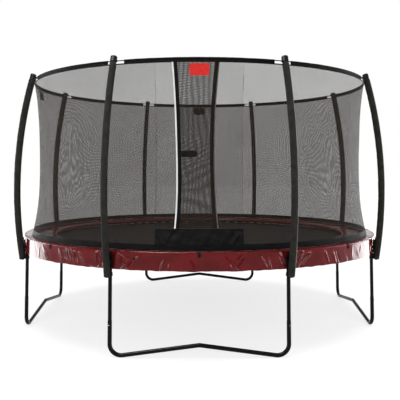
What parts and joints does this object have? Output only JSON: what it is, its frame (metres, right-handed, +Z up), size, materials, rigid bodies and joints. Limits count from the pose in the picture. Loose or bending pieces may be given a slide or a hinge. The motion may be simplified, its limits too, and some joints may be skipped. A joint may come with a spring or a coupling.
{
  "type": "trampoline",
  "caption": "Round garden trampoline: steel ring on four W-shaped legs, sprung mat, red padded cover, and a waisted net with an overlapping doorway on bowed padded poles.",
  "frame": {"origin": "on the ground, at the centre of the ring", "axes": "+Z up, the doorway faces -Y, +X to the right of someone who faces the doorway"},
  "size_m": [4.3246, 4.3246, 2.8836],
  "materials": {
    "black_steel": "gloss black paint",
    "pole_steel": "satin black paint",
    "red_pad_cover": "glossy coated PVC cloth over foam",
    "net_mesh": "fine knitted mesh",
    "sleeve_cloth": "matt woven sleeve over foam",
    "black_plastic": "moulded",
    "zinc_screws": "zinc plated",
    "rod_plastic": "glass-fibre rod",
    "black_webbing": "woven polypropylene webbing",
    "sill_cloth": "coated dark cloth",
    "red_label": "bare woven patch",
    "spring_steel": "zinc plated wire",
    "mat_cloth": "woven polypropylene",
    "door_binding": "black binding with white piping"
  },
  "bodies": {
    "frame": {"ring_section_right_front": "black_steel", "ring_section_right_back": "black_steel", "ring_section_back_right": "black_steel", "ring_section_back_left": "black_steel", "ring_section_left_back": "black_steel", "ring_section_left_front": "black_steel", "ring_section_front_left": "black_steel", "ring_section_front_right": "black_steel", "foot_tube_right": "black_steel", "foot_tube_back": "black_steel", "foot_tube_left": "black_steel", "foot_tube_front": "black_steel", "upright_right_front": "black_steel", "upright_right_back": "black_steel", "upright_back_right": "black_steel", "upright_back_left": "black_steel", "upright_left_back": "black_steel", "upright_left_front": "black_steel", "upright_front_left": "black_steel", "upright_front_right": "black_steel", "net_pole_right_front": "pole_steel", "net_pole_right_back": "pole_steel", "net_pole_back_right": "pole_steel", "net_pole_back_left": "pole_steel", "net_pole_left_back": "pole_steel", "net_pole_left_front": "pole_steel", "net_pole_front_left": "pole_steel", "net_pole_front_right": "pole_steel", "pad_right": "red_pad_cover", "pad_back": "red_pad_cover", "pad_left": "red_pad_cover", "pad_front": "red_pad_cover", "net_wall_right_front": "net_mesh", "net_wall_right_back": "net_mesh", "net_wall_left_back": "net_mesh", "net_wall_left_front": "net_mesh", "pole_sleeves": "sleeve_cloth", "pole_caps": "black_plastic", "pole_clamps": "black_plastic", "clamp_bolts": "black_plastic", "ring_screws": "zinc_screws", "leg_screws": "zinc_screws", "top_rod_ring": "rod_plastic", "top_hem": "black_webbing", "net_lower_band": "black_webbing", "door_sill": "sill_cloth", "door_jambs": "black_webbing", "net_labels": "red_label", "pad_straps": "black_webbing", "pad_ties": "black_webbing", "springs": "spring_steel"},
    "mat": {"jumping_mat": "mat_cloth", "mat_webbing": "black_webbing", "mat_rings": "spring_steel"},
    "outer_flap": {"outer_flap_net": "net_mesh", "outer_flap_binding": "door_binding", "door_label": "red_label"},
    "inner_flap": {"inner_flap_net": "net_mesh", "inner_flap_binding": "door_binding"},
    "closure_tab": {"closure_tab": "black_webbing"}
  },
  "joints": [
    {"name": "mat_bounce", "type": "slide", "parent": "frame", "child": "mat", "axis": [0, 0, -1], "range_m": [0, 0.4], "stiffness_N_per_m": 5000, "springref_m": -0.06, "deforming": ["springs"]},
    {"name": "outer_flap_swing", "type": "hinge", "parent": "frame", "child": "outer_flap", "pos_m": [0.42331, -1.99151, 1.244], "axis": [0, 0, 1], "range_deg": [0, 80]},
    {"name": "inner_flap_swing", "type": "hinge", "parent": "frame", "child": "inner_flap", "pos_m": [-0.40418, -1.90152, 1.244], "axis": [0, 0, 1], "range_deg": [0, 80]},
    {"name": "tab_peel", "type": "hinge", "parent": "outer_flap", "child": "closure_tab", "pos_m": [-0.17859, -1.96863, 1.946], "axis": [0, 0, -1], "range_deg": [0, 140]}
  ]
}
